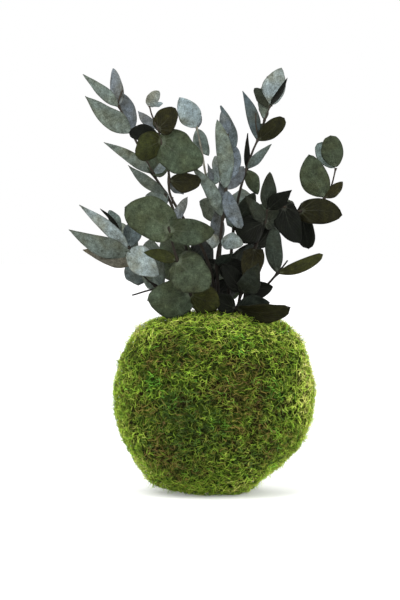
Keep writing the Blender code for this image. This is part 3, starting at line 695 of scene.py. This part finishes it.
def buildBed(material):
    outline = outlinePoints(200)
    steps = np.cumsum(np.r_[0, np.hypot(*np.diff(outline, axis=0).T)])
    total = steps[-1] + ball["flatRadius"]
    heart = Vector((0, 0, ball["middle"]))
    rough, closeness = bed["roughness"]
    bm = bmesh.new()
    bmesh.ops.create_uvsphere(bm, u_segments=bed["turns"], v_segments=bed["rows"], radius=1)
    for vert in bm.verts:
        share = math.acos(max(-1, min(1, vert.co.z))) / math.pi * total
        turn = math.atan2(vert.co.y, vert.co.x)
        if share <= steps[-1]:
            radius = np.interp(share, steps, outline[:, 0])
            height = np.interp(share, steps, outline[:, 1])
        else:
            radius, height = total - share, 0.0
        point = Vector((radius * math.cos(turn), radius * math.sin(turn), height))
        inset = bed["inset"] - lumps(point) - rough * noise.noise(point * closeness)
        point = point + (heart - point).normalized() * inset
        point.z = max(point.z, bed["lowest"])
        vert.co = point * mm
    bmesh.ops.recalc_face_normals(bm, faces=bm.faces)
    newObject("mossBed", bm, material, ["moss_coat"])
    print("moss bed laid")


moss = {
    "seed": 11, "pieces": 7, "strandsPerPiece": 5200, "mostFaces": 195000,
    "leaflets": (0, 5, 3),  # of the strands of the first, second and third piece, and so on in turn
    "length": (2.4, 6.2), "width": (0.40, 0.76), "lift": (-4, 42),
    "bend": 0.50, "side": 0.55, "wriggle": 0.16, "roll": 0.9,
    "sunk": 1.6, "depth": 2.3, "clumpShade": 0.12, "footShade": 0.35, "lowest": 0.15,
    "bareTop": 0.45,  # share of the strands left out over the opening
}

strays = {"count": 380, "leaflets": 5, "length": (5.0, 9.0), "width": (0.5, 0.8), "lift": (30, 70)}

tufts = {
    "length": (5.0, 8.5), "width": (0.5, 0.8), "lift": (20, 60),
    # at the left and right edges, as (side, height, strands, spread in height and in depth)
    "places": [(1, 37, 60, 7, 9), (1, 49, 30, 3, 6), (-1, 89, 26, 3, 6), (-1, 10, 30, 3, 8),
               (1, 14, 26, 3, 8), (1, 102, 18, 4, 8), (-1, 60, 18, 5, 9)],
}

# short dark moss that climbs the feet of the stems
crown = {"strands": 60, "leaflets": 3, "reach": 5.0, "rise": (0.5, 3.0), "length": (4.0, 9.0),
         "width": (0.45, 0.8), "lift": (25, 85), "tone": (0.13, 0.39), "shade": (0.25, 0.75)}

patches = {
    # on the front, as (x, z, radius, how much browner, how much darker)
    "front": [(-56, 96, 10, 0.16, 0.15), (-40, 90, 12, 0.08, 0.20), (-18, 101, 10, 0.02, 0.30),
              (14, 73, 17, 0.20, 0.15), (0, 78, 6, 0.12, 0.0), (-24, 66, 11, 0.0, 0.35),
              (-42, 56, 10, 0.18, 0.15), (-11, 46, 16, 0.0, 0.40), (-31, 28, 13, 0.24, 0.25),
              (41, 35, 9, 0.18, 0.1), (30, 88, 10, 0.10, 0.1),
              (-10, 22, 12, 0.04, 0.25), (48, 84, 9, 0.08, 0.2), (-49, 110, 9, -0.10, -0.2),
              (-20, 116, 12, -0.04, -0.1), (14, 108, 13, -0.05, -0.15), (62, 58, 13, -0.10, -0.2),
              (60, 84, 12, -0.06, -0.1), (-50, 20, 12, -0.10, -0.1), (30, 14, 13, -0.10, -0.1),
              (24, 46, 12, 0.02, 0.1)],
    # cool and vivid green strands, as (x, z, radius, share of the strands)
    "cool": [(-14, 48, 20, 0.50), (-26, 68, 13, 0.40), (-18, 98, 10, 0.30), (34, 30, 12, 0.20),
             (40, 66, 10, 0.30)],
    "vivid": [(-41, 78, 5, 0.65), (42, 72, 7, 0.35), (20, 104, 9, 0.22), (-30, 69, 5, 0.35),
              (2, 52, 6, 0.20)],
    "darkness": 0.7, "coolAnywhere": 0.06, "vividAnywhere": 0.012,
}

# drifts are (weight, closeness, offset of the noise)
drifts = {
    "middle": 0.47, "scatter": 0.14,
    "tones": [(0.12, 0.035, (5.5, 1.7, 8.8)), (0.20, 0.11, (3.1, 7.7, 1.3)), (0.16, 0.35, (0, 0, 0))],
    "dark": (0.16, 0.07, (2, 4, 9)), "dry": (0.9, 0.05, (0, 6, 2)),
    # at the back, with the level that a noise has to pass
    "browner": (0.22, 0.06, (8, 2, 5), 0.05), "cool": (1.4, 0.05, (4, 4, 1), 0.15),
    "vivid": (1.6, 0.13, (7, 1, 3), 0.35),
}

# dry moss is paler and grows round the rim; the paler rim, as seen from the front and more on the right, is
# also painted rim light
rimLightAndDry = {"heart": 62, "radius": 64, "from": 0.66, "paler": 0.25, "right": 1.2, "left": 0.8}


def drift(point, weight, closeness, offset):
    return weight * noise.noise(point * closeness + Vector(offset))


def driftOver(point, weight, closeness, offset, level=0):
    return weight * max(0, drift(point, 1, closeness, offset) - level)


def nearness(point, x, z, radius):
    return math.exp(-((point.x - x) ** 2 + (point.z - z) ** 2) / radius ** 2)


def patchAt(point, spots):
    return sum(share * nearness(point, x, z, radius) for x, z, radius, share in spots)


def toneAndShade(point, rng):
    tone = drifts["middle"] + sum(drift(point, *parts) for parts in drifts["tones"])
    tone += rng.gauss(0, drifts["scatter"])
    dark = driftOver(point, *drifts["dark"])
    if point.y < 0:
        for x, z, radius, browner, darker in patches["front"]:
            near = nearness(point, x, z, radius)
            tone -= browner * near
            dark += patches["darkness"] * darker * near
        cool, vivid = patchAt(point, patches["cool"]), patchAt(point, patches["vivid"])
    else:
        tone -= driftOver(point, *drifts["browner"])
        cool, vivid = driftOver(point, *drifts["cool"]), driftOver(point, *drifts["vivid"])
    # painted rim light: paler tones round the rim as seen from the front, more on the right
    out = math.hypot(point.x, point.z - rimLightAndDry["heart"]) / rimLightAndDry["radius"]
    dry = min(max(0.75 + drift(point, *drifts["dry"]), 0.3), 1.1)
    rim = max(0, out - rimLightAndDry["from"]) / (1 - rimLightAndDry["from"])
    tone += rimLightAndDry["paler"] * dry * rim * rimLightAndDry["right" if point.x > 0 else "left"]
    tone = mossSkin["lastTone"] * min(max(tone, 0.01), 1)
    chance = rng.random()
    if chance < vivid + patches["vividAnywhere"]:
        tone = rng.uniform(*mossSkin["vivid"])
    elif chance < vivid + cool + patches["coolAnywhere"]:
        tone = rng.uniform(*mossSkin["cool"])
    return tone, 1 - min(max(dark, -0.2), 0.55)


def strandAt(point, normal, look, rng):
    around = Vector((-normal.y, normal.x, 0))
    swirl = Vector((noise.noise(point * 0.15), noise.noise(point * 0.15 + Vector((9, 0, 0))),
                    noise.noise(point * 0.15 + Vector((0, 9, 0)))))
    loose = Vector((rng.gauss(0, 1), rng.gauss(0, 1), rng.gauss(0, 1)))
    heading = swirl * 1.3 + loose * 0.7 + around * rng.gauss(0, 1.1)
    heading = (heading - normal * heading.dot(normal)).normalized()
    lift = math.radians(rng.uniform(*look["lift"]))
    x = heading * math.cos(lift) + normal * math.sin(lift)
    z = normal * math.cos(lift) - heading * math.sin(lift)
    roll = rng.uniform(-moss["roll"], moss["roll"])
    y = z.cross(x)
    y, z = y * math.cos(roll) + z * math.sin(roll), z * math.cos(roll) - y * math.sin(roll)
    length = rng.uniform(*look["length"])
    # strands sit in clumps, and those low between clumps are painted darker: painted shade
    high = 0.52 + 0.9 * noise.noise(point * 0.40 + Vector((1.5, 2.5, 3.5))) + rng.uniform(-0.5, 0.5)
    high = min(max(high, 0), 1)
    foot = point + normal * (lumps(point) - moss["sunk"] + moss["depth"] * high) - x * length * 0.4
    bend = rng.gauss(-0.1, moss["bend"]) * length
    side = rng.gauss(0, moss["side"]) * length
    wriggle = rng.gauss(0, moss["wriggle"]) * length
    tone, shade = toneAndShade(point, rng)
    shade *= moss["clumpShade"] + (1 - moss["clumpShade"]) * high
    return {"foot": foot, "x": x, "y": y, "z": z, "length": length, "width": rng.uniform(*look["width"]),
            "bend": bend, "side": side, "wriggle": wriggle, "tone": tone, "shade": shade}


def placeStrands(count, look, rng):
    # evenly over the outline's area, with the flat spot as one more band
    outline = outlinePoints(400)
    centres = (outline[1:] + outline[:-1]) / 2
    steps = np.diff(outline, axis=0)
    areas = np.append(np.hypot(*steps.T) * centres[:, 0], ball["flatRadius"] ** 2 / 2)
    sums = np.cumsum(areas)
    strands = []
    for _ in range(count):
        band = int(np.searchsorted(sums, rng.random() * sums[-1]))
        turn = rng.uniform(0, math.tau)
        if band >= len(centres):
            radius, height, outward = ball["flatRadius"] * math.sqrt(rng.random()), 0.0, (0.0, -1.0)
        else:
            radius, height = centres[band]
            down = steps[band] / np.hypot(*steps[band])
            outward = (-down[1], down[0])
        if height > 100 and radius < ball["openingRadius"] and rng.random() < moss["bareTop"]:
            continue
        spoke = Vector((math.cos(turn), math.sin(turn), 0))
        point = spoke * radius + Vector((0, 0, height))
        normal = spoke * outward[0] + Vector((0, 0, outward[1]))
        strands.append(strandAt(point, normal, look, rng))
    return strands


def placeTufts(rng):
    outline = outlinePoints(400)
    down = np.diff(outline, axis=0)
    strands = []
    for side, height, count, rise, depth in tufts["places"]:
        for _ in range(count):
            near = int(np.argmin(np.abs(outline[:-1, 1] - height - rng.gauss(0, rise / 2))
                                 + 100 * (outline[:-1, 0] < ball["flatRadius"])))
            radius, z = outline[near]
            turn = math.asin(max(-0.9, min(0.9, rng.gauss(-2, depth / 2) / radius)))
            spoke = Vector((side * math.cos(turn), math.sin(turn), 0))
            length = math.hypot(*down[near])
            normal = spoke * (-down[near][1] / length) + Vector((0, 0, down[near][0] / length))
            point = spoke * radius + Vector((0, 0, z))
            strands.append(strandAt(point, normal, tufts, rng))
    return strands


def placeCrown(rng):
    strands = []
    for sprig in sprigs.values():
        x, y, _ = sprig["path"][1]
        for _ in range(crown["strands"]):
            point = Vector((x + rng.gauss(0, crown["reach"]), y + rng.gauss(0, crown["reach"]),
                            ball["soilTop"] + rng.uniform(*crown["rise"])))
            strand = strandAt(point, Vector((0, 0, 1)), crown, rng)
            strand["tone"] = rng.uniform(*crown["tone"])
            strand["shade"] = rng.uniform(*crown["shade"])
            strands.append(strand)
    return strands


def baseStrand(leaflets, rng):
    # one strand along X, from 0 to 1, a unit wide at its thickest
    bm = bmesh.new()
    bmesh.ops.create_cone(bm, cap_ends=True, cap_tris=True, segments=3, radius1=0.32, radius2=0.10, depth=1)
    for cut in (-0.2, 0.12, 0.34):
        geometry = bm.verts[:] + bm.edges[:] + bm.faces[:]
        bmesh.ops.bisect_plane(bm, geom=geometry, plane_co=(0, 0, cut), plane_no=(0, 0, 1))
    for vert in bm.verts:
        along = vert.co.z + 0.5
        swell = 0.6 + 1.1 * math.sin(math.pi * min(along * 0.9 + 0.1, 1))
        vert.co = Vector((along, vert.co.x * swell, vert.co.y * swell))
    for k in range(leaflets):
        along = 0.22 + 0.68 * (k + 0.5) / leaflets
        turn = math.tau * (k * 0.38 + rng.uniform(-0.1, 0.1))
        leaflet = bmesh.ops.create_cone(bm, cap_ends=True, segments=3, radius1=0.20, radius2=0, depth=1)
        length = 1.5 * (1 - 0.5 * along)
        lean = Matrix.Rotation(turn, 4, "X") @ Matrix.Rotation(math.radians(38), 4, "Y")
        for vert in leaflet["verts"]:
            spun = lean @ Vector((vert.co.x, vert.co.y * 0.5, (vert.co.z + 0.5) * length))
            vert.co = Vector((along + spun.x / 6, spun.y, spun.z))  # a strand is about six widths long
    bmesh.ops.triangulate(bm, faces=bm.faces)
    bmesh.ops.recalc_face_normals(bm, faces=bm.faces)
    bm.verts.ensure_lookup_table()
    points = np.array([v.co for v in bm.verts])
    faces = np.array([[v.index for v in f.verts] for f in bm.faces])
    bm.free()
    return points, faces


def buildStrands(name, strands, base, material):
    # copies of the base strand, each bent, wriggled and stood on its own foot
    points, faces = base
    count = len(strands)
    foot, x, y, z = (np.array([s[key] for s in strands])[:, None, :] for key in ("foot", "x", "y", "z"))
    length, width, bend, side, wriggle, tone, shade = (
        np.array([s[key] for s in strands])[:, None]
        for key in ("length", "width", "bend", "side", "wriggle", "tone", "shade"))
    along = points[None, :, 0]
    arc = along ** 2 - 0.4 * along
    acrossPart = width * points[None, :, 1] + side * arc + wriggle * np.sin(along * math.tau)
    upPart = width * points[None, :, 2] + bend * arc
    verts = foot + x * (length * along)[:, :, None] + y * acrossPart[:, :, None] + z * upPart[:, :, None]
    verts[:, :, 2] = np.maximum(verts[:, :, 2], moss["lowest"])
    allFaces = (faces[None, :, :] + (np.arange(count) * len(points))[:, None, None]).reshape(-1)
    mesh = bpy.data.meshes.new(name)
    mesh.vertices.add(count * len(points))
    mesh.vertices.foreach_set("co", (verts * mm).astype(np.float32).ravel())
    mesh.loops.add(len(allFaces))
    mesh.loops.foreach_set("vertex_index", allFaces.astype(np.int32))
    mesh.polygons.add(len(allFaces) // 3)
    mesh.polygons.foreach_set("loop_start", np.arange(0, len(allFaces), 3, dtype=np.int32))
    mesh.update(calc_edges=True)
    layer = mesh.uv_layers.new(name="OFBake")
    perVertex = np.empty((count, len(points), 2), np.float32)
    perVertex[:, :, 0] = np.clip(tone, 0.01, 0.99)
    # painted shade at each strand's foot, fading out towards its tip
    lit = moss["footShade"] + (1 - moss["footShade"]) * np.clip(along, 0, 1)
    perVertex[:, :, 1] = np.clip(shade * lit, 0.01, 0.99)
    layer.data.foreach_set("uv", perVertex.reshape(-1, 2)[allFaces].ravel())
    keep(name, mesh, material)


def buildMoss(material):
    rng = random.Random(moss["seed"])
    kinds = sorted({*moss["leaflets"], strays["leaflets"], crown["leaflets"]})
    bases = {leaflets: baseStrand(leaflets, rng) for leaflets in kinds}
    total = 0
    for number in range(moss["pieces"]):
        base = bases[moss["leaflets"][number % len(moss["leaflets"])]]
        count = min(moss["strandsPerPiece"], moss["mostFaces"] // len(base[1]))
        strands = placeStrands(count, moss, rng)
        buildStrands(f"mossStrands_{number + 1}", strands, base, material)
        total += len(strands)
    loose = placeStrands(strays["count"], strays, rng) + placeTufts(rng)
    buildStrands("mossStrays", loose, bases[strays["leaflets"]], material)
    crownStrands = placeCrown(rng)
    buildStrands("mossCrown", crownStrands, bases[crown["leaflets"]], material)
    print("moss strands laid", total + len(loose) + len(crownStrands))


soil = {"overlap": 1.5, "turns": 48, "rows": 24, "rise": 1.5, "half": 2.5, "grit": ((1.3, 0.25), (0.7, 0.9))}


def buildSoil(material):
    # the grit that shows in the opening, between the stems
    reach = ball["openingRadius"] + soil["overlap"]
    bm = bmesh.new()
    bmesh.ops.create_uvsphere(bm, u_segments=soil["turns"], v_segments=soil["rows"], radius=1)
    for vert in bm.verts:
        point = Vector((vert.co.x * reach, vert.co.y * reach, 0))
        grit = sum(rise * noise.noise(point * closeness) for rise, closeness in soil["grit"])
        height = ball["soilTop"] + soil["rise"] + vert.co.z * soil["half"] + grit
        vert.co = Vector((point.x, point.y, height)) * mm
    bmesh.ops.recalc_face_normals(bm, faces=bm.faces)
    newObject("soilSurface", bm, material, ["soil_ball"])
    print("soil filled")


# places and sizes here are metres
stageLook = {
    "floor": 0.97, "glow": 0.25, "world": 1.0, "floorHalf": 6, "aim": (0, 0, 0.13),
    # (name, place, size, power)
    "lights": [("key", (-0.5, -0.9, 1.3), 1.3, 16.0), ("fill", (1.1, -0.6, 0.8), 1.1, 6.0),
               ("back", (0.2, 1.4, 1.1), 1.3, 3.5)],
}


def layFloor():
    bm = bmesh.new()
    bmesh.ops.create_grid(bm, x_segments=1, y_segments=1, size=stageLook["floorHalf"])
    mesh = bpy.data.meshes.new("floor")
    bm.to_mesh(mesh)
    bm.free()
    material, _, shader = newMaterial("paleFloor", 0.9, 0.1)
    shader.inputs["Base Color"].default_value = (*(stageLook["floor"],) * 3, 1)
    shader.inputs["Emission Color"].default_value = (1, 1, 1, 1)
    shader.inputs["Emission Strength"].default_value = stageLook["glow"]
    mesh.materials.append(material)
    floor = bpy.data.objects.new("floor", mesh)
    bpy.context.scene.collection.objects.link(floor)


def lightStage():
    scene = bpy.context.scene
    world = bpy.data.worlds.new("studio")
    world.use_nodes = True
    world.node_tree.nodes["Background"].inputs["Color"].default_value = (1, 1, 1, 1)
    world.node_tree.nodes["Background"].inputs["Strength"].default_value = stageLook["world"]
    scene.world = world
    for name, place, size, power in stageLook["lights"]:
        light = bpy.data.lights.new(name, "AREA")
        light.size = size
        light.energy = power
        thing = bpy.data.objects.new(name, light)
        thing.location = place
        thing.rotation_mode = "QUATERNION"
        thing.rotation_quaternion = (Vector(stageLook["aim"]) - thing.location).to_track_quat("-Z", "Y")
        scene.collection.objects.link(thing)
    scene.view_settings.view_transform = "Standard"
    scene.view_settings.look = "None"
    print("stage lit")


addCamera()
buildSprigs()
buildBed(bedMaterial())
buildMoss(mossMaterial())
buildSoil(soilMaterial())
layFloor()
lightStage()
